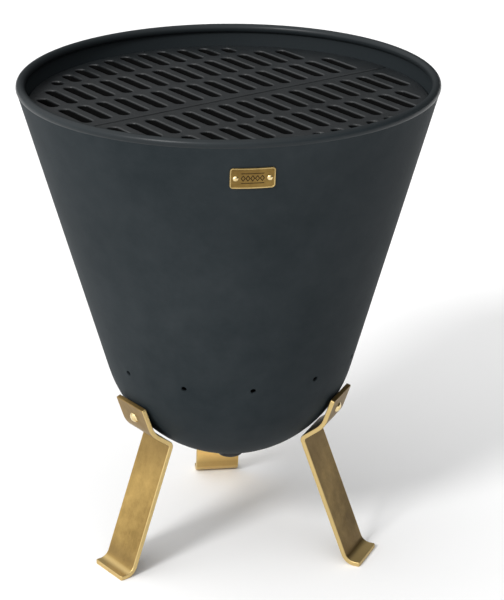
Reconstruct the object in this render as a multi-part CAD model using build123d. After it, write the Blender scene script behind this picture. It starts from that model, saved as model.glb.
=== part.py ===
from build123d import *
from math import asin, cos, degrees, radians, sin, sqrt, tan
import os

# Cone-shaped charcoal fire bowl with a cooking grate, on three bent flat-bar legs.
# Millimetres. +Z is up, the origin is on the floor under the bowl's axis,
# and the name plate faces -Y.

os.makedirs("parts", exist_ok=True)

# ---- overall sizes ----
rim_radius = 220.0            # to the outside of the rim
overall_height = 528.0        # floor to the top of the rim
wall_taper = radians(15.6)    # half angle of the cone
dome_radius = 137.5           # outside of the round bottom
wall = 3.0                    # steel sheet

# ---- rim ----
rim_bead_radius = 4.8         # round bar that finishes the top edge
rim_step = 0.4                # how far the bar stands proud of the wall

# ---- air vents ----
vent_count = 12
vent_radius = 3.0
vent_height = 232.0
vent_first_angle = 3.8        # degrees round from the name plate

# ---- cooking grate, cast in two halves ----
grate_top_drop = 23.7         # below the rim's top
grate_thickness = 9.0
grate_wall_gap = 1.2
seam_angle = 28.4             # direction of the joint between the halves, from +X
seam_gap = 2.2                # between the two castings
slot_width = 11.4
slot_length = 55.3
slot_pitch = 22.4             # from slot to slot along a row
slot_row_pitch = 66.2         # from row to row
slot_first_row = 12.9         # from the seam to the first row
slot_offset = 4.1             # of the slot pattern along the seam
slot_rows = 3
slot_border = 9.0             # solid edge left round the casting
slot_draft = 2.0              # degrees, the slots are wider below
slot_shortest = 13.0
grate_edge_round = 1.6

# ---- lugs that carry the cooking grate ----
ledge_count = 4
ledge_width = 48.0
ledge_depth = 13.0            # out from the wall
ledge_thickness = 4.0
ledge_gap = 0.4               # between the lugs and the castings

# ---- charcoal grate ----
charcoal_grate_height = 258.0
charcoal_grate_thickness = 5.0
charcoal_grate_gap = 0.4
charcoal_hole_radius = 5.5
charcoal_hole_spacing = 21.0
charcoal_grate_border = 14.0

# ---- legs: 50 x 5 flat bar ----
leg_width = 50.0
leg_thickness = 5.0
leg_angles = {"left": -60.0, "right": 60.0, "rear": 180.0}   # round from the name plate
leg_top_r = 130.2             # centre line of the bar at its upper end
leg_top_z = 192.6
leg_flat_slope = radians(70.9) # upper flat, up from level
leg_flat_length = 33.9        # to the corner of the knee
leg_pad_slope = radians(37.7) # lower flat, under the bowl
leg_pad_length = 30.2         # from the knee to the corner of the upper bend
leg_lean = radians(21.0)      # of the straight part, out from vertical
leg_knee_bend = 28.0          # centre-line radii
leg_upper_bend = 5.0
leg_lower_bend = 14.0
leg_toe_length = 15.4         # from the corner of the lower bend to the toe
leg_bolt_place = 18.5         # from the upper end of the bar
leg_corner_round = 2.0        # seen square to the bar
leg_edge_round = 0.8

# ---- leg bolts, M6 ----
bolt_radius = 3.0
bolt_hole_radius = 3.3
bolt_head_radius = 6.0
bolt_head_height = 3.4
bolt_tail = 2.5               # beyond the nut
washer_radius = 6.0
washer_thickness = 1.6
nut_across_flats = 10.0
nut_height = 5.0

# ---- name plate ----
plate_width = 44.0
plate_height = 23.0
plate_thickness = 1.6
plate_corner = 3.2
plate_edge = 1.5              # raised edge
plate_edge_height = 0.45
plate_drop = 41.6             # along the wall, rim top to the plate's centre
rivet_spread = 16.5           # from the plate's centre
rivet_radius = 1.5
rivet_head_radius = 3.1
rivet_head_height = 2.1
rivet_tail_radius = 2.5
rivet_tail_height = 1.0

# ---- drain plug under the bowl ----
plug_radius = 14.0
plug_bottom = 96.5
plug_head_height = 9.5
plug_edge_round = 2.0
plug_shank_radius = 8.0
plug_shank_length = 16.0
plug_fit = 0.08               # radial, shank in socket
seal_thickness = 1.5
socket_radius = 13.5
socket_inside_height = 3.0    # above the inside of the bowl

clearance = 0.05              # radial, between a shank and what it holds
reach = 600.0                 # longer than the whole object

# ---- sizes worked out from the ones above ----
bead_centre_r = rim_radius - rim_bead_radius
bead_centre_z = overall_height - rim_bead_radius
bead_to_wall = rim_bead_radius - rim_step       # bead's centre to the wall's outer face
dome_centre_z = bead_centre_z - (
    bead_centre_r * cos(wall_taper) - dome_radius + bead_to_wall
) / sin(wall_taper)
wall_across = wall / cos(wall_taper)            # wall thickness measured level
grate_top = overall_height - grate_top_drop
grate_bottom = grate_top - grate_thickness
ledge_top = grate_bottom - ledge_gap
dome_bore = dome_radius - wall

# ---- the bolt through a leg's upper flat, in the plane of the leg's centre line ----
bolt_r = leg_top_r - leg_bolt_place * cos(leg_flat_slope) - leg_thickness / 2 * sin(leg_flat_slope)
bolt_z = leg_top_z - leg_bolt_place * sin(leg_flat_slope) + leg_thickness / 2 * cos(leg_flat_slope)
bolt_along = bolt_r * sin(leg_flat_slope) - (bolt_z - dome_centre_z) * cos(leg_flat_slope)
bolt_aside = bolt_r * cos(leg_flat_slope) + (bolt_z - dome_centre_z) * sin(leg_flat_slope)
bolt_span = bolt_along - sqrt(dome_bore**2 - bolt_aside**2)       # bar to the inside of the bowl
washer_tilt = asin(abs(bolt_aside) / dome_bore)                  # against the inside of the bowl
washer_hollow = washer_radius * tan(washer_tilt) + washer_radius**2 / (2 * dome_bore)
washer_depth = bolt_span + washer_hollow + clearance


def wall_radius(z):
    """Outer radius of the cone at height z."""
    drop = bead_centre_z - z
    return bead_centre_r + (bead_to_wall - drop * sin(wall_taper)) / cos(wall_taper)


def inner_radius(z):
    return wall_radius(z) - wall_across


def on_wall(z, angle, depth=0.0):
    """Plane on the cone at height z, looking out; angle is round from the name plate."""
    turn = radians(angle)
    out = Vector(sin(turn), -cos(turn), 0)
    normal = out * cos(wall_taper) - Vector(0, 0, 1) * sin(wall_taper)
    place = out * wall_radius(z) + Vector(0, 0, z) - normal * depth
    return Plane(place, x_dir=Vector(cos(turn), sin(turn), 0), z_dir=normal)


def on_leg(angle, depth=0.0):
    """Plane square to a leg's bolt, looking out; depth is inwards from the bar's inner face."""
    turn = radians(angle)
    out = Vector(sin(turn), -cos(turn), 0)
    normal = out * sin(leg_flat_slope) - Vector(0, 0, 1) * cos(leg_flat_slope)
    place = out * bolt_r + Vector(0, 0, bolt_z) - normal * depth
    return Plane(place, x_dir=Vector(cos(turn), sin(turn), 0), z_dir=normal)


def bowl_body(inset, top):
    """Solid inside the bowl's skin, moved in by inset and cut level at top."""
    radius = dome_radius - inset
    foot = (0, dome_centre_z - radius)
    middle = (radius * sin(radians(40)), dome_centre_z - radius * cos(radians(40)))
    tangent = (radius * cos(wall_taper), dome_centre_z - radius * sin(wall_taper))
    rim = (wall_radius(top) - inset / cos(wall_taper), top)
    with BuildSketch(Plane.XZ) as half:
        with BuildLine():
            ThreePointArc(foot, middle, tangent)
            Line(tangent, rim)
            Line(rim, (0, top))
            Line((0, top), foot)
        make_face()
    return revolve(half.sketch, Axis.Z)


def rim_ring():
    section = Plane.XZ * Location((bead_centre_r, bead_centre_z)) * Circle(rim_bead_radius)
    return revolve(section, Axis.Z)


def vent_holes():
    holes = []
    for index in range(vent_count):
        angle = vent_first_angle + index * 360 / vent_count
        holes.append(on_wall(vent_height, angle) * Cylinder(vent_radius, 6 * wall))
    return holes


def fire_bowl():
    shell = bowl_body(0, bead_centre_z) - bowl_body(wall, bead_centre_z)
    shell -= rim_ring()
    shell -= vent_holes()
    for angle in leg_angles.values():
        shell -= on_leg(angle) * Cylinder(bolt_hole_radius, 10 * wall)
    for place in rivet_places(0):
        shell -= place * Cylinder(rivet_radius + clearance, 6 * wall)
    shell -= Location((0, 0, dome_centre_z - dome_radius)) * Cylinder(socket_radius, 20 * wall)
    return shell


def grate_support_lugs():
    """Tabs welded inside the wall: one under each end of the seam and one between."""
    ring = bowl_body(wall, ledge_top)
    ring &= Location((0, 0, ledge_top - ledge_thickness / 2)) * Cylinder(reach, ledge_thickness)
    bore = inner_radius(ledge_top) - ledge_depth
    ring -= Location((0, 0, ledge_top)) * Cylinder(bore, 4 * ledge_thickness)
    lugs = []
    for index in range(ledge_count):
        turn = seam_angle + index * 360 / ledge_count
        block = Location((reach / 2, 0, ledge_top)) * Box(reach, ledge_width, 4 * ledge_thickness)
        lugs += (ring & (Rot(0, 0, turn) * block)).solids()
    return Compound(lugs)


def grate_slot_shapes():
    """Outlines of one casting's slots; X runs along the seam, Y away from it."""
    edge = inner_radius(grate_top) - grate_wall_gap - slot_border
    count = int(edge / slot_pitch) + 1
    shapes = []
    for row in range(slot_rows):
        start = slot_first_row + row * slot_row_pitch
        for index in range(-count, count + 1):
            x = index * slot_pitch - slot_offset
            outer = abs(x) + slot_width / 2
            if outer >= edge:
                continue
            end = min(start + slot_length, sqrt(edge**2 - outer**2))
            length = end - start
            if length < slot_shortest:
                continue
            place = Location((x, start + length / 2), 90)
            shapes.append(place * SlotOverall(length, slot_width))
    return shapes


def grate_half(side):
    """One half-round casting; side is 1 for the rear one and -1 for the front one."""
    gap = grate_wall_gap * cos(wall_taper)
    slab = bowl_body(wall + gap, grate_top)
    slab &= Location((0, 0, grate_top - grate_thickness / 2)) * Cylinder(reach, grate_thickness)
    half_plane = Location((0, seam_gap / 2 + reach / 2, grate_top)) * Box(2 * reach, reach, reach)
    slab &= half_plane
    for shape in grate_slot_shapes():
        slab -= extrude(Plane.XY.offset(grate_top) * shape, -grate_thickness, taper=-slot_draft)
    top_face = slab.faces().sort_by(Axis.Z)[-1]
    slab = fillet(top_face.edges(), grate_edge_round)
    turn = seam_angle if side > 0 else seam_angle + 180
    return Rot(0, 0, turn) * slab


def charcoal_grate():
    """Round plate, drilled all over, that sits in the cone above the vents."""
    top = charcoal_grate_height + charcoal_grate_thickness
    plate = bowl_body(wall + charcoal_grate_gap, top)
    middle = charcoal_grate_height + charcoal_grate_thickness / 2
    plate &= Location((0, 0, middle)) * Cylinder(reach, charcoal_grate_thickness)
    edge = inner_radius(charcoal_grate_height) - charcoal_grate_border
    rings = int(edge / charcoal_hole_spacing)
    holes = [Location((0, 0, middle)) * Cylinder(charcoal_hole_radius, 3 * charcoal_grate_thickness)]
    for ring in range(1, rings + 1):
        radius = ring * charcoal_hole_spacing
        for index in range(6 * ring):
            turn = index * 60 / ring
            place = Rot(0, 0, turn) * Location((radius, 0, middle))
            holes.append(place * Cylinder(charcoal_hole_radius, 3 * charcoal_grate_thickness))
    return plate - holes


def leg_path():
    """Centre line of the bar in the XZ plane, from its upper end to the toe."""
    knee_r = leg_top_r - leg_flat_length * cos(leg_flat_slope)
    knee_z = leg_top_z - leg_flat_length * sin(leg_flat_slope)
    bend_r = knee_r - leg_pad_length * cos(leg_pad_slope)
    bend_z = knee_z - leg_pad_length * sin(leg_pad_slope)
    foot_z = leg_thickness / 2
    heel_r = bend_r + (bend_z - foot_z) * tan(leg_lean)
    with BuildLine(Plane.XZ) as line:
        FilletPolyline(
            (leg_top_r, leg_top_z),
            (knee_r, knee_z),
            (bend_r, bend_z),
            (heel_r, foot_z),
            (heel_r + leg_toe_length, foot_z),
            radius=[leg_knee_bend, leg_upper_bend, leg_lower_bend],
        )
    return line.wire()


def leg(angle):
    path = leg_path()
    section = Plane(path @ 0, x_dir=Vector(0, 1, 0), z_dir=path % 0)
    bar = sweep(section * Rectangle(leg_width, leg_thickness), path=path)
    ends = [bar.faces().sort_by_distance(path @ place)[0] for place in (0, 1)]
    corners = [edge for end in ends for edge in end.edges() if edge.length < leg_width / 2]
    bar = fillet(corners, leg_corner_round)
    sides = bar.faces().filter_by(lambda face: abs(face.normal_at().Y) > 0.99)
    bar = fillet(sides.edges(), leg_edge_round)
    bar = Rot(0, 0, angle - 90) * bar
    return bar - on_leg(angle) * Cylinder(bolt_hole_radius, 4 * leg_thickness)


def dome_head(radius, height, shank_radius, shank_length):
    """Fastener that points down -Z from a round head standing on the XY plane."""
    ball = (radius**2 + height**2) / (2 * height)
    head = Location((0, 0, height - ball)) * Sphere(ball)
    head &= Location((0, 0, height / 2)) * Cylinder(2 * radius, height)
    return head + Location((0, 0, -shank_length / 2)) * Cylinder(shank_radius, shank_length)


def leg_bolt(angle):
    grip = leg_thickness + washer_depth + washer_thickness + nut_height + 2 * clearance
    bolt = dome_head(bolt_head_radius, bolt_head_height, bolt_radius, grip + bolt_tail)
    return on_leg(angle, -leg_thickness - clearance) * bolt


def leg_washer(angle):
    ring = Cylinder(washer_radius, washer_thickness) - Cylinder(bolt_radius + 0.2, wall)
    return on_leg(angle, washer_depth + washer_thickness / 2) * ring


def leg_nut(angle):
    outline = RegularPolygon(nut_across_flats / 2, 6, major_radius=False)
    nut = extrude(outline, nut_height) - Cylinder(bolt_radius + clearance, 3 * nut_height)
    depth = washer_depth + washer_thickness + clearance + nut_height
    return on_leg(angle, depth) * nut


def plate_plane(depth=0.0):
    height = overall_height - plate_drop * cos(wall_taper)
    return on_wall(height, 0, depth)


def rivet_places(depth):
    """Planes square to the wall at the two rivets."""
    centre_z = plate_plane().origin.Z
    turn = degrees(rivet_spread / wall_radius(centre_z))
    return [on_wall(centre_z, side * turn, depth) for side in (-1, 1)]


def plate_layer(inside, outside, margin):
    """Part of the name plate between two depths outside the wall, inset by margin."""
    outline = RectangleRounded(plate_width - 2 * margin, plate_height - 2 * margin, plate_corner)
    block = extrude(plate_plane(10) * outline, 30)
    return (bowl_body(-outside, bead_centre_z) - bowl_body(-inside, bead_centre_z)) & block


def name_plate():
    """Blank brass plate, bent to the wall, with a raised edge."""
    plate = plate_layer(clearance, plate_thickness, 0)
    field = plate_thickness - plate_edge_height
    plate -= plate_layer(field, plate_thickness + 1, plate_edge)
    for place in rivet_places(0):
        plate -= place * Cylinder(rivet_radius + clearance, 6 * plate_thickness)
    return plate


def name_plate_rivets():
    stand = plate_thickness - plate_edge_height + 0.1
    grip = stand + wall + clearance
    solids = []
    for place in rivet_places(-stand):
        rivet = dome_head(rivet_head_radius, rivet_head_height, rivet_radius, grip)
        tail = Location((0, 0, -grip - rivet_tail_height / 2 + 0.01))
        rivet += tail * Cylinder(rivet_tail_radius, rivet_tail_height)
        solids.append(place * rivet)
    return Compound(solids)


def drain_socket():
    """Bush welded through the bottom of the bowl; the plug goes up into it."""
    low = plug_bottom + plug_head_height + seal_thickness
    high = dome_centre_z - dome_radius + wall + socket_inside_height
    middle = Location((0, 0, (low + high) / 2))
    bush = middle * Cylinder(socket_radius, high - low)
    return bush - middle * Cylinder(plug_shank_radius + plug_fit, 2 * (high - low))


def drain_seal():
    low = plug_bottom + plug_head_height
    thickness = seal_thickness - 2 * clearance
    middle = Location((0, 0, low + clearance + thickness / 2))
    bore = plug_shank_radius + 2 * clearance
    return middle * (Cylinder(socket_radius - 0.5, thickness) - Cylinder(bore, 2 * thickness))


def drain_plug():
    head = Location((0, 0, plug_bottom + plug_head_height / 2)) * Cylinder(plug_radius, plug_head_height)
    head = fillet(head.edges().sort_by(Axis.Z)[0], plug_edge_round)
    shank_middle = plug_bottom + plug_head_height + plug_shank_length / 2
    return head + Location((0, 0, shank_middle)) * Cylinder(plug_shank_radius, plug_shank_length)


def save(name, shape):
    shape.label = name
    export_step(shape, os.path.join("parts", name + ".step"))


save("fire_bowl", fire_bowl())
save("rim_ring", rim_ring())
save("grate_support_lugs", grate_support_lugs())
save("rear_cooking_grate", grate_half(1))
save("front_cooking_grate", grate_half(-1))
save("charcoal_grate", charcoal_grate())
for side_name, side_angle in leg_angles.items():
    save(side_name + "_leg", leg(side_angle))
    save(side_name + "_leg_bolt", leg_bolt(side_angle))
    save(side_name + "_leg_washer", leg_washer(side_angle))
    save(side_name + "_leg_nut", leg_nut(side_angle))
save("name_plate", name_plate())
save("name_plate_rivets", name_plate_rivets())
save("drain_socket", drain_socket())
save("drain_seal", drain_seal())
save("drain_plug", drain_plug())
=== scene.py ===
"""Looks for the cone-shaped charcoal fire bowl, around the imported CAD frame. Metres."""
import math

import bmesh
import bpy
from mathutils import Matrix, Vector


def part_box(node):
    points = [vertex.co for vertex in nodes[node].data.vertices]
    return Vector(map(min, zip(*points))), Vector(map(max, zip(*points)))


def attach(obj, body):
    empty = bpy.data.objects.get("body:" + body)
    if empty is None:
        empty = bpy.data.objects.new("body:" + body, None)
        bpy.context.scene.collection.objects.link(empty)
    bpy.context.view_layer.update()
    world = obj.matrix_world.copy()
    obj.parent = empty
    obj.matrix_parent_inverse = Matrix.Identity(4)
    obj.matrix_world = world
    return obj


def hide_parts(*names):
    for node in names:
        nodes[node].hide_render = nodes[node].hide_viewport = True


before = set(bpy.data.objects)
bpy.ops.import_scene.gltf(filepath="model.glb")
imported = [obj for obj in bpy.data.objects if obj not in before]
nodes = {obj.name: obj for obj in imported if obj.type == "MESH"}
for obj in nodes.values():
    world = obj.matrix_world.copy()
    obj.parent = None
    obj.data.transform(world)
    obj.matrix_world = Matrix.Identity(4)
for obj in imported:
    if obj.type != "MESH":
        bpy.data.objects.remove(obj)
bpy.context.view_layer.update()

LEG_ANGLES = {"left": -60.0, "right": 60.0, "rear": 180.0}   # degrees round from the name plate

WALL_TAPER = math.radians(15.6)                              # of the bowl's wall, from upright
WALL = 0.003
CONE_RADIUS_AT_FLOOR = 0.07369                               # outside of the wall, run down to the floor
WALL_START_HEIGHT = 0.2104                                   # where the wall meets the dome
WALL_START_BLEND = 0.0004
DOME_RADIUS = 0.1375
DOME_CENTRE_HEIGHT = 0.24738
GRATE_TOP_HEIGHT = 0.5043
SOOT_AND_SHADE_HEIGHTS = (0.494, 0.503)                           # below the grate the bowl's inside is soot-black, soot and painted shade in one
SLOT_SOOT_AND_SHADE_DEPTHS = (0.0006, 0.0022)                          # below the grate's top, where soot and painted shade set in on the slot walls

# ---- painted shade, wear and painted highlight on the legs: heights, and distance from the middle of the bar ----
FOOT_CREASE_TOP = (0.030, 0.016)
FOOT_CREASE_BOTTOM = (0.003, 0.010)
BEND_CREASE = (0.095, 0.140)
# toe painted paler: rubbed wear and a painted reflection
TOE_RUBBED_AND_LIT = (0.0085, 0.0060)
# bar's edges painted paler: polish and a painted highlight
LEG_EDGE = (0.0233, 0.0242)
LEG_EDGE_RAGGED = 0.0006

# ---- name plate ----
PLATE_WIDTH = 0.044
PLATE_HEIGHT = 0.023
PLATE_THICKNESS = 0.0016
PLATE_GAP = 0.00005                      # between the plate and the wall
PLATE_CORNER = 0.0032
PLATE_EDGE = 0.0015                      # width of the raised edge
PLATE_EDGE_HEIGHT = 0.00045
PLATE_EDGE_ROUND = 0.0003
PLATE_INSETS = (                         # rings of the mesh, measured in from the outline
    0.0, 0.00003, 0.0001, 0.0002, 0.0003, 0.0007,
    0.00105, 0.0012, 0.00135, 0.0015, 0.0019, 0.0023,
)
PLATE_CORNER_STEPS = 14
PLATE_SIDE_STEPS = 90
PLATE_FIELD_STEPS = 46
ENGRAVING_DEPTH = 0.0003
ENGRAVING_WIDTH = 0.0009
LOZENGE_PITCH = 0.0046
LOZENGE_HALF_WIDTH = 0.0019
LOZENGE_HALF_HEIGHT = 0.0030
ENGRAVED_LINE_PLACE = 0.0055             # above and below the row of lozenges
ENGRAVED_LINE_HALF = 0.0112

# ---- camera ----
CAMERA_BEARING = math.radians(6.18)      # how far left of the name plate the camera stands
CAMERA_DISTANCE = 2.171
CAMERA_HEIGHT = 1.1508
CAMERA_PITCH = math.radians(21.89)
CAMERA_AIM = math.radians(0.64)          # to the right of the bowl's axis
CAMERA_LENS = 130.1

# ---- light ----
KEY_TRAVEL = (0.577, 0.552, -0.602)      # the way the key light travels
KEY_SIZE = math.radians(14)
KEY_STRENGTH = 1.9
ROOM_BRIGHT_SIDE = (-0.60, -0.30, 0.74)
ROOM_BRIGHT = 1.56
ROOM_DIM = 0.07
ROOM_FADE = (-0.2, 0.95)                 # cosines from the bright side, dim to bright
FLOOR_SIZE = 24.0

# ---- colours, linear ----
WHITE = (1.0, 1.0, 1.0, 1.0)
FLOOR_PALE = (0.86, 0.86, 0.86, 1.0)
COATING = (0.0150, 0.0200, 0.0228, 1.0)
COATING_LIGHT = (0.0255, 0.0312, 0.0345, 1.0)
# darker coating: painted shade inside the bowl, with a little soot, and on the rim
COATING_SHADED = (0.0130, 0.0165, 0.0185, 1.0)
# soot below the grate and in the slots, standing also as painted shade
SOOT_AND_SHADE = (0.0040, 0.0040, 0.0040, 1.0)
IRON = (0.0065, 0.0080, 0.0090, 1.0)
IRON_LIGHT = (0.0165, 0.0190, 0.0205, 1.0)
BRASS = (0.62, 0.44, 0.175, 1.0)
BRASS_PALE = (0.84, 0.69, 0.39, 1.0)
BRASS_EDGE = (0.62, 0.46, 0.20, 1.0)
# painted shade in the legs' bends
BRASS_PAINTED_SHADE = (0.20, 0.13, 0.048, 1.0)
LEG_BRASS_LIT_AND_SHADED = {                            # face and stain of each leg; the right leg painted darker as painted shade, the rear leg paler as painted light
    "left": ((0.52, 0.35, 0.118, 1.0), (0.27, 0.175, 0.055, 1.0)),
    "right": ((0.30, 0.20, 0.065, 1.0), (0.14, 0.09, 0.028, 1.0)),
    "rear": ((0.98, 0.71, 0.28, 1.0), (0.84, 0.57, 0.21, 1.0)),
}
PLATE_FACE = (0.27, 0.175, 0.052, 1.0)
PLATE_STAIN = (0.14, 0.085, 0.024, 1.0)
PLATE_GRIME = (0.035, 0.022, 0.010, 1.0)
ZINC = (0.42, 0.43, 0.43, 1.0)
ZINC_DARK = (0.25, 0.25, 0.25, 1.0)
BLACK = (0.010, 0.010, 0.011, 1.0)
BLACK_LIGHT = (0.022, 0.022, 0.024, 1.0)
ASH = (0.040, 0.038, 0.036, 1.0)


# ---------------------------------------------------------------- materials

class Shader:
    """A small helper that builds one principled material."""

    def __init__(self, name, roughness=0.5, metallic=0.0, specular=0.5):
        self.material = bpy.data.materials.new(name)
        self.material.use_nodes = True
        self.tree = self.material.node_tree
        self.bsdf = self.tree.nodes["Principled BSDF"]
        self.bsdf.inputs["Roughness"].default_value = roughness
        self.bsdf.inputs["Metallic"].default_value = metallic
        self.bsdf.inputs["Specular IOR Level"].default_value = specular
        self.normal = None

    def node(self, kind, **values):
        made = self.tree.nodes.new(kind)
        for key, value in values.items():
            setattr(made, key, value)
        return made

    def link(self, source, target):
        self.tree.links.new(source, target)

    def place(self, turn=0.0, scale=(1.0, 1.0, 1.0)):
        """Object position, turned about Z by -turn degrees and scaled."""
        coordinates = self.node("ShaderNodeTexCoord")
        turned = self.node("ShaderNodeMapping")
        turned.inputs["Rotation"].default_value = (0, 0, -math.radians(turn))
        self.link(coordinates.outputs["Object"], turned.inputs["Vector"])
        scaled = self.node("ShaderNodeMapping")
        scaled.inputs["Scale"].default_value = scale
        self.link(turned.outputs["Vector"], scaled.inputs["Vector"])
        return scaled.outputs["Vector"]

    def noise(self, where, scale, detail=4.0, rough=0.55):
        made = self.node("ShaderNodeTexNoise")
        made.inputs["Scale"].default_value = scale
        made.inputs["Detail"].default_value = detail
        made.inputs["Roughness"].default_value = rough
        self.link(where, made.inputs["Vector"])
        return made.outputs["Fac"]

    def ramp(self, value, low, high, results=(0.0, 1.0)):
        """Maps low..high onto the two results, and stays at them outside that range."""
        made = self.node("ShaderNodeMapRange")
        made.inputs["From Min"].default_value = low
        made.inputs["From Max"].default_value = high
        made.inputs["To Min"].default_value = results[0]
        made.inputs["To Max"].default_value = results[1]
        self.link(value, made.inputs["Value"])
        return made.outputs["Result"]

    def axis(self, where, index):
        """One of the three numbers of a place."""
        made = self.node("ShaderNodeSeparateXYZ")
        self.link(where, made.inputs["Vector"])
        return made.outputs[index]

    def distance(self, where, place):
        """How far where is from a fixed place."""
        made = self.node("ShaderNodeVectorMath", operation="DISTANCE")
        self.link(where, made.inputs[0])
        made.inputs[1].default_value = place
        return made.outputs["Value"]

    def mix(self, factor, first, second):
        made = self.node("ShaderNodeMix", data_type="RGBA")
        self.link(factor, made.inputs["Factor"])
        for key, value in (("A", first), ("B", second)):
            slot = [s for s in made.inputs if s.name == key and s.type == "RGBA"][0]
            if isinstance(value, tuple):
                slot.default_value = value
            else:
                self.link(value, slot)
        return [s for s in made.outputs if s.type == "RGBA"][0]

    def math(self, operation, first, second):
        made = self.node("ShaderNodeMath", operation=operation)
        for slot, value in zip(made.inputs, (first, second)):
            if isinstance(value, (int, float)):
                slot.default_value = value
            else:
                self.link(value, slot)
        return made.outputs["Value"]

    def color(self, source):
        self.link(source, self.bsdf.inputs["Base Color"])

    def roughness(self, source):
        self.link(source, self.bsdf.inputs["Roughness"])

    def bump(self, height, distance, strength=1.0):
        """Adds relief on top of the relief already there."""
        made = self.node("ShaderNodeBump")
        made.inputs["Distance"].default_value = distance
        made.inputs["Strength"].default_value = strength
        self.link(height, made.inputs["Height"])
        if self.normal is not None:
            self.link(self.normal, made.inputs["Normal"])
        self.normal = made.outputs["Normal"]
        self.link(self.normal, self.bsdf.inputs["Normal"])


def inside_of_bowl(s, here):
    """1 on the inside of the sheet, 0 on its outside: a cone above WALL_START_HEIGHT, a dome below it."""
    height = s.axis(here, 2)
    rise = s.math("MULTIPLY", height, math.tan(WALL_TAPER))
    cone_middle = s.math("ADD", rise, CONE_RADIUS_AT_FLOOR - WALL / 2)
    from_axis = s.distance(s.place(scale=(1.0, 1.0, 0.0)), (0, 0, 0))
    cone_inward = s.math("SUBTRACT", cone_middle, from_axis)
    from_dome_centre = s.distance(here, (0, 0, DOME_CENTRE_HEIGHT))
    dome_inward = s.math("SUBTRACT", DOME_RADIUS - WALL / 2, from_dome_centre)
    on_cone = s.ramp(height, WALL_START_HEIGHT - WALL_START_BLEND, WALL_START_HEIGHT + WALL_START_BLEND)
    on_dome = s.math("SUBTRACT", 1.0, on_cone)
    cone_part = s.math("MULTIPLY", on_cone, cone_inward)
    dome_part = s.math("MULTIPLY", on_dome, dome_inward)
    return s.ramp(s.math("ADD", cone_part, dome_part), 0.0, WALL / 3)


def coating_material(name="bowl_coating", base=COATING, light=COATING_LIGHT, gloss=0.0, specular=0.05):
    """Matte heat-resistant coating on spun steel: fine grain over faint spinning waves, darker inside as
    painted shade with a little soot, soot-black with painted shade below the grate.
    """
    s = Shader(name, specular=specular)
    here = s.place()
    patches = s.noise(here, 6.0, 5.0)
    blotches = s.noise(here, 38.0, 5.0, 0.7)
    specks = s.noise(here, 900.0, 2.0)
    cloud = s.math("ADD", s.math("MULTIPLY", patches, 0.6), s.math("MULTIPLY", blotches, 0.4))
    outside = s.mix(s.ramp(cloud, 0.36, 0.66), base, light)
    # inside the bowl: painted shade with a little soot above the grate, soot and painted shade below it
    soot_and_shade = s.mix(s.ramp(s.axis(here, 2), *SOOT_AND_SHADE_HEIGHTS), SOOT_AND_SHADE, COATING_SHADED)
    s.color(s.mix(inside_of_bowl(s, here), outside, soot_and_shade))
    rough = s.math("ADD", patches, s.math("MULTIPLY", specks, 0.5))
    s.roughness(s.ramp(rough, 0.45, 1.05, (0.52 - gloss, 0.66 - gloss)))
    rings = s.noise(s.place(scale=(0.6, 0.6, 60.0)), 1.0, 3.0)
    s.bump(rings, 0.0006, 0.35)
    s.bump(blotches, 0.0008, 0.12)
    s.bump(specks, 0.0002, 0.22)
    return s.material


def iron_material():
    """Sand-cast iron: grainy skin, a little paler where it has been brushed, with soot and painted shade
    in the slots.
    """
    s = Shader("cast_grate", specular=0.42)
    here = s.place()
    patches = s.noise(here, 14.0, 6.0, 0.6)
    skin = s.noise(here, 420.0, 5.0, 0.65)
    surface = s.mix(s.ramp(s.math("ADD", patches, skin), 0.75, 1.25), IRON, IRON_LIGHT)
    # slot and seam walls painted near-black: soot and painted shade
    start, full = [GRATE_TOP_HEIGHT - depth for depth in SLOT_SOOT_AND_SHADE_DEPTHS]
    sooty_and_shaded = s.ramp(s.axis(here, 2), start, full)
    s.color(s.mix(sooty_and_shaded, surface, SOOT_AND_SHADE))
    s.link(s.ramp(sooty_and_shaded, 0.0, 1.0, (0.42, 0.04)), s.bsdf.inputs["Specular IOR Level"])
    rough = s.ramp(skin, 0.3, 0.7, (0.26, 0.44))
    s.roughness(s.math("ADD", rough, s.math("MULTIPLY", sooty_and_shaded, 0.4)))
    s.bump(skin, 0.0006, 0.5)
    s.bump(s.noise(here, 60.0, 3.0), 0.002, 0.15)
    return s.material


def patina(s, here, strokes, face, stain):
    """Colour of an aged brass face: blotches of stain under fine brush strokes."""
    cloud = s.noise(here, 16.0, 5.0, 0.6)
    spots = s.noise(here, 75.0, 4.0, 0.7)
    tint = s.math("ADD", s.math("MULTIPLY", cloud, 0.65), s.math("MULTIPLY", spots, 0.35))
    blotched = s.mix(s.ramp(tint, 0.36, 0.62), face, stain)
    lines = s.ramp(strokes, 0.42, 0.80, (0.0, 0.45))
    return s.mix(lines, blotched, face), tint


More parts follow.
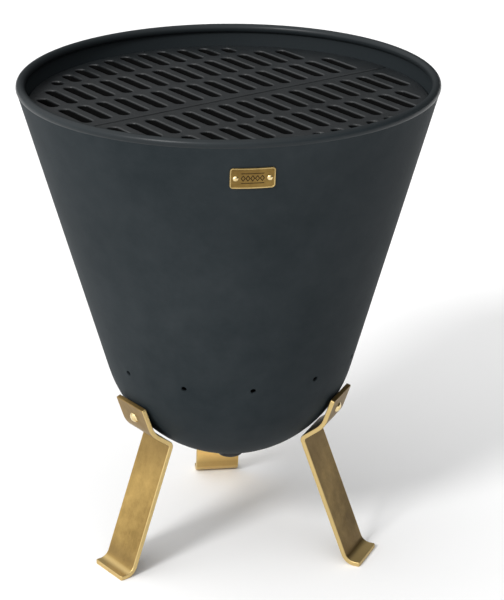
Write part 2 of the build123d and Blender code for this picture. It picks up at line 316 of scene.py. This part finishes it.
def leg_material(side, angle):
    """Flat bar: aged faces with brush marks along the bar, painted shade in the bends, paler on its edges
    and toe as polish and painted highlight.
    """
    s = Shader("aged_brass_" + side, metallic=1.0)
    here = s.place(angle - 90)
    strokes = s.noise(s.place(angle - 90, (22.0, 900.0, 22.0)), 1.0, 4.0, 0.6)
    # the right leg's colours hold painted shade, the rear leg's painted light
    face, tint = patina(s, here, strokes, *LEG_BRASS_LIT_AND_SHADED[side])
    height = s.axis(here, 2)
    # painted shade: darker in the foot's crease and up the pad under the bowl
    foot_crease_shade = s.math("MULTIPLY", s.ramp(height, *FOOT_CREASE_TOP), s.ramp(height, *FOOT_CREASE_BOTTOM))
    bend_shade = s.ramp(height, *BEND_CREASE)
    painted_shade = s.math("MULTIPLY", s.math("MAXIMUM", foot_crease_shade, bend_shade), 0.60)
    # edges and toe painted paler: polish and wear, with a painted highlight
    across = s.math("ABSOLUTE", s.axis(here, 1), 0.0)
    ragged = s.math("MULTIPLY", tint, LEG_EDGE_RAGGED)
    edge = s.ramp(s.math("SUBTRACT", across, ragged), *LEG_EDGE)
    toe = s.math("MULTIPLY", s.ramp(height, *TOE_RUBBED_AND_LIT), 0.9)
    rubbed = s.math("MAXIMUM", edge, toe)
    s.color(s.mix(rubbed, s.mix(painted_shade, face, BRASS_PAINTED_SHADE), BRASS_EDGE))
    rough = s.ramp(s.math("ADD", strokes, tint), 0.7, 1.3, (0.36, 0.54))
    s.roughness(s.math("SUBTRACT", rough, s.math("MULTIPLY", edge, 0.08)))
    s.bump(strokes, 0.0002, 0.30)
    s.bump(tint, 0.0004, 0.12)
    return s.material


def plate_material():
    """Name plate: dark aged field, pale where the raised edge has been rubbed."""
    s = Shader("aged_brass_plate", metallic=1.0)
    here = s.place()
    strokes = s.noise(s.place(0, (40.0, 40.0, 1500.0)), 1.0, 4.0, 0.6)
    face, tint = patina(s, here, strokes, PLATE_FACE, PLATE_STAIN)
    raised = s.node("ShaderNodeAttribute", attribute_name="raised").outputs["Fac"]
    rubbed = s.math("MULTIPLY", s.ramp(raised, 0.0, 1.0), s.ramp(tint, 0.30, 0.62, (1.0, 0.45)))
    field = s.mix(s.ramp(raised, -0.1, -0.6), face, PLATE_GRIME)
    s.color(s.mix(rubbed, field, BRASS_EDGE))
    s.roughness(s.ramp(tint, 0.3, 0.7, (0.34, 0.50)))
    s.bump(strokes, 0.0002, 0.30)
    s.bump(s.noise(here, 420.0, 3.0), 0.0002, 0.2)
    return s.material


def head_material():
    """Turned brass heads, brighter than the bar they hold."""
    s = Shader("bright_brass", metallic=1.0)
    here = s.place()
    marks = s.noise(here, 260.0, 4.0, 0.65)
    s.color(s.mix(s.ramp(marks, 0.40, 0.75), BRASS_PALE, BRASS))
    s.roughness(s.ramp(marks, 0.3, 0.7, (0.15, 0.28)))
    s.bump(marks, 0.0002, 0.2)
    return s.material


def plated_material(name, base, light, metallic, roughness):
    """Plain finish with fine handling marks, for fasteners and the plug."""
    s = Shader(name, metallic=metallic, specular=0.4)
    here = s.place()
    marks = s.noise(here, 160.0, 4.0, 0.7)
    s.color(s.mix(s.ramp(marks, 0.35, 0.7), base, light))
    s.roughness(s.ramp(marks, 0.3, 0.7, (roughness[0], roughness[1])))
    s.bump(s.noise(here, 1200.0, 2.0), 0.0002, 0.15)
    return s.material


def charcoal_plate_material():
    """Heat-stained iron with grey ash lying in patches."""
    s = Shader("charcoal_plate", roughness=0.8, specular=0.1)
    here = s.place()
    patches = s.noise(here, 25.0, 6.0, 0.65)
    grain = s.noise(here, 500.0, 4.0, 0.6)
    s.color(s.mix(s.ramp(patches, 0.48, 0.72), IRON, ASH))
    s.roughness(s.ramp(patches, 0.3, 0.7, (0.62, 0.92)))
    s.bump(grain, 0.0006, 0.5)
    return s.material


def floor_material():
    s = Shader("pale_floor", roughness=0.9, specular=0.1)
    s.bsdf.inputs["Base Color"].default_value = FLOOR_PALE
    return s.material


def paint(node_name, material):
    mesh = nodes[node_name].data
    if not mesh.materials:
        mesh.materials.append(material)
    for index in range(len(mesh.materials)):
        mesh.materials[index] = material


def paint_nodes():
    coating = coating_material()
    for name in ("fire_bowl", "grate_support_lugs", "drain_socket"):
        paint(name, coating)
    # the rim is painted a darker copy of the coating, as painted shade
    paint("rim_ring", coating_material("rim_coating_shaded", COATING_SHADED, COATING, 0.24, 0.18))
    iron = iron_material()
    paint("rear_cooking_grate", iron)
    paint("front_cooking_grate", iron)
    paint("charcoal_grate", charcoal_plate_material())
    zinc = plated_material("zinc_steel", ZINC_DARK, ZINC, 1.0, (0.3, 0.5))
    heads = head_material()
    for side, angle in LEG_ANGLES.items():
        paint(side + "_leg", leg_material(side, angle))
        paint(side + "_leg_bolt", heads)
        paint(side + "_leg_washer", zinc)
        paint(side + "_leg_nut", zinc)
    paint("name_plate_rivets", heads)
    black = plated_material("plug_black", BLACK, BLACK_LIGHT, 0.0, (0.35, 0.5))
    paint("drain_plug", black)
    paint("drain_seal", plated_material("seal_ring", BLACK, BLACK_LIGHT, 0.0, (0.7, 0.9)))


# ---------------------------------------------------------------- name plate

def plate_outline():
    """Places inside the plate's corners with their outward directions, all the way round the outline."""
    half_w = PLATE_WIDTH / 2 - PLATE_CORNER
    half_h = PLATE_HEIGHT / 2 - PLATE_CORNER
    corners = ((half_w, -half_h), (half_w, half_h), (-half_w, half_h), (-half_w, -half_h))
    path = []
    for index, (x, y) in enumerate(corners):
        for step in range(PLATE_CORNER_STEPS + 1):
            angle = math.pi / 2 * (index - 1 + step / PLATE_CORNER_STEPS)
            path.append((x, y, math.cos(angle), math.sin(angle)))
        next_x, next_y = corners[(index + 1) % 4]
        for step in range(1, PLATE_SIDE_STEPS):
            share = step / PLATE_SIDE_STEPS
            place = (x + (next_x - x) * share, y + (next_y - y) * share)
            path.append(place + (math.cos(angle), math.sin(angle)))
    return path


def smooth(value, start, end):
    """Rises gently from 0 to 1 as value goes from start to end."""
    step = min(max((value - start) / (end - start), 0.0), 1.0)
    return step * step * (3 - 2 * step)


def groove(distance):
    """Depth of an engraved line, at a distance from its middle."""
    return ENGRAVING_DEPTH * (1 - smooth(abs(distance), 0.2 * ENGRAVING_WIDTH, 0.6 * ENGRAVING_WIDTH))


def engraving(x, y):
    """Depth of the ornament: a row of lozenges between two lines."""
    depths = [0.0]
    for index in range(-2, 3):
        across = abs(x - index * LOZENGE_PITCH) / LOZENGE_HALF_WIDTH
        depths.append(groove((across + abs(y) / LOZENGE_HALF_HEIGHT - 1) * LOZENGE_HALF_WIDTH * 0.85))
    if abs(x) < ENGRAVED_LINE_HALF:
        depths.append(groove(abs(y) - ENGRAVED_LINE_PLACE))
    return max(depths)


def plate_rings():
    """Rings from the plate's outline to its middle: lists of (x, y, lift off the wall, raised).

    Raised is 1 on the raised edge, 0 on the field and -1 at the bottom of a groove.
    """
    outline = plate_outline()
    rings = [[(x + u * PLATE_CORNER, y + v * PLATE_CORNER, PLATE_GAP, 1.0) for x, y, u, v in outline]]
    for inset in PLATE_INSETS:
        turn_down = max(PLATE_EDGE_ROUND - inset, 0.0)
        rounding = PLATE_EDGE_ROUND - math.sqrt(PLATE_EDGE_ROUND**2 - turn_down**2)
        raised = 1 - smooth(inset, 0.7 * PLATE_EDGE, PLATE_EDGE)
        lift = PLATE_THICKNESS - PLATE_EDGE_HEIGHT * (1 - raised) - rounding
        reach = PLATE_CORNER - inset
        rings.append([(x + u * reach, y + v * reach, lift, raised) for x, y, u, v in outline])
    field = rings[-1]
    for step in range(1, PLATE_FIELD_STEPS + 1):
        share = 1 - step / PLATE_FIELD_STEPS * 0.999
        ring = []
        for x, y, lift, _ in field:
            depth = engraving(x * share, y * share)
            ring.append((x * share, y * share, lift - depth, -depth / ENGRAVING_DEPTH))
        rings.append(ring)
    return rings


def make_name_plate():
    """The plate bent to the cone, with a raised edge and a plain engraved ornament."""
    low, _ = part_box("name_plate")
    half_rise = PLATE_HEIGHT / 2
    wall_r = -low[1] - half_rise * math.sin(WALL_TAPER) - PLATE_THICKNESS * math.cos(WALL_TAPER)
    middle_z = low[2] + half_rise * math.cos(WALL_TAPER) + PLATE_THICKNESS * math.sin(WALL_TAPER)
    centre = Vector((0, -wall_r, middle_z))
    upward = Vector((0, -math.sin(WALL_TAPER), math.cos(WALL_TAPER)))
    outward = Vector((0, -math.cos(WALL_TAPER), -math.sin(WALL_TAPER)))
    build = bmesh.new()
    raised_layer = build.verts.layers.float.new("raised")
    rings = []
    for ring in plate_rings():
        verts = []
        for x, y, lift, raised in ring:
            sag = x * x * math.cos(WALL_TAPER) / (2 * (wall_r + y * math.sin(WALL_TAPER)))
            vert = build.verts.new(centre + Vector((x, 0, 0)) + y * upward + (lift - sag) * outward)
            vert[raised_layer] = raised
            verts.append(vert)
        rings.append(verts)
    for outer, inner in zip(rings, rings[1:]):
        for index in range(len(outer)):
            before = index - 1
            build.faces.new((outer[before], outer[index], inner[index], inner[before]))
    build.faces.new(rings[-1])
    build.faces.new(reversed(rings[0]))
    bmesh.ops.recalc_face_normals(build, faces=build.faces)
    for face in build.faces:
        face.smooth = len(face.verts) == 4
    mesh = bpy.data.meshes.new("engraved_name_plate")
    build.to_mesh(mesh)
    build.free()
    mesh.materials.append(plate_material())
    piece = bpy.data.objects.new("engraved_name_plate", mesh)
    bpy.context.scene.collection.objects.link(piece)
    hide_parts("name_plate")
    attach(piece, "bowl")


# ---------------------------------------------------------------- stage

def make_floor():
    mesh = bpy.data.meshes.new("floor")
    half = FLOOR_SIZE / 2
    corners = [(-half, -half, 0), (half, -half, 0), (half, half, 0), (-half, half, 0)]
    mesh.from_pydata(corners, [], [(0, 1, 2, 3)])
    floor = bpy.data.objects.new("floor", mesh)
    bpy.context.scene.collection.objects.link(floor)
    mesh.materials.append(floor_material())


def make_camera():
    camera_data = bpy.data.cameras.new("camera")
    camera_data.lens = CAMERA_LENS
    camera_data.sensor_width = 36.0
    camera_data.clip_end = 100.0
    camera = bpy.data.objects.new("camera", camera_data)
    camera.location = (
        -CAMERA_DISTANCE * math.sin(CAMERA_BEARING),
        -CAMERA_DISTANCE * math.cos(CAMERA_BEARING),
        CAMERA_HEIGHT,
    )
    camera.rotation_euler = (math.pi / 2 - CAMERA_PITCH, 0, -(CAMERA_BEARING + CAMERA_AIM))
    bpy.context.scene.collection.objects.link(camera)
    bpy.context.scene.camera = camera


def make_key():
    """Soft key light from the upper left, in front."""
    sun = bpy.data.lights.new("key", "SUN")
    sun.energy = KEY_STRENGTH
    sun.angle = KEY_SIZE
    lamp = bpy.data.objects.new("key", sun)
    lamp.rotation_euler = Vector(KEY_TRAVEL).to_track_quat("-Z", "Y").to_euler()
    bpy.context.scene.collection.objects.link(lamp)


def make_room():
    """White room, brightest up on the left, where the key light comes from, and dim on the far side."""
    world = bpy.data.worlds.new("studio")
    world.use_nodes = True
    tree = world.node_tree
    background = tree.nodes["Background"]
    background.inputs["Color"].default_value = WHITE
    direction = tree.nodes.new("ShaderNodeTexCoord")
    toward = tree.nodes.new("ShaderNodeVectorMath")
    toward.operation = "DOT_PRODUCT"
    toward.inputs[1].default_value = Vector(ROOM_BRIGHT_SIDE).normalized()
    level = tree.nodes.new("ShaderNodeMapRange")
    level.interpolation_type = "SMOOTHSTEP"
    level.inputs["From Min"].default_value = ROOM_FADE[0]
    level.inputs["From Max"].default_value = ROOM_FADE[1]
    level.inputs["To Min"].default_value = ROOM_DIM
    level.inputs["To Max"].default_value = ROOM_BRIGHT
    tree.links.new(direction.outputs["Generated"], toward.inputs[0])
    tree.links.new(toward.outputs["Value"], level.inputs["Value"])
    tree.links.new(level.outputs["Result"], background.inputs["Strength"])
    bpy.context.scene.world = world


bpy.context.scene.view_settings.view_transform = "Standard"
make_camera()
make_key()
make_room()
make_floor()
paint_nodes()
make_name_plate()
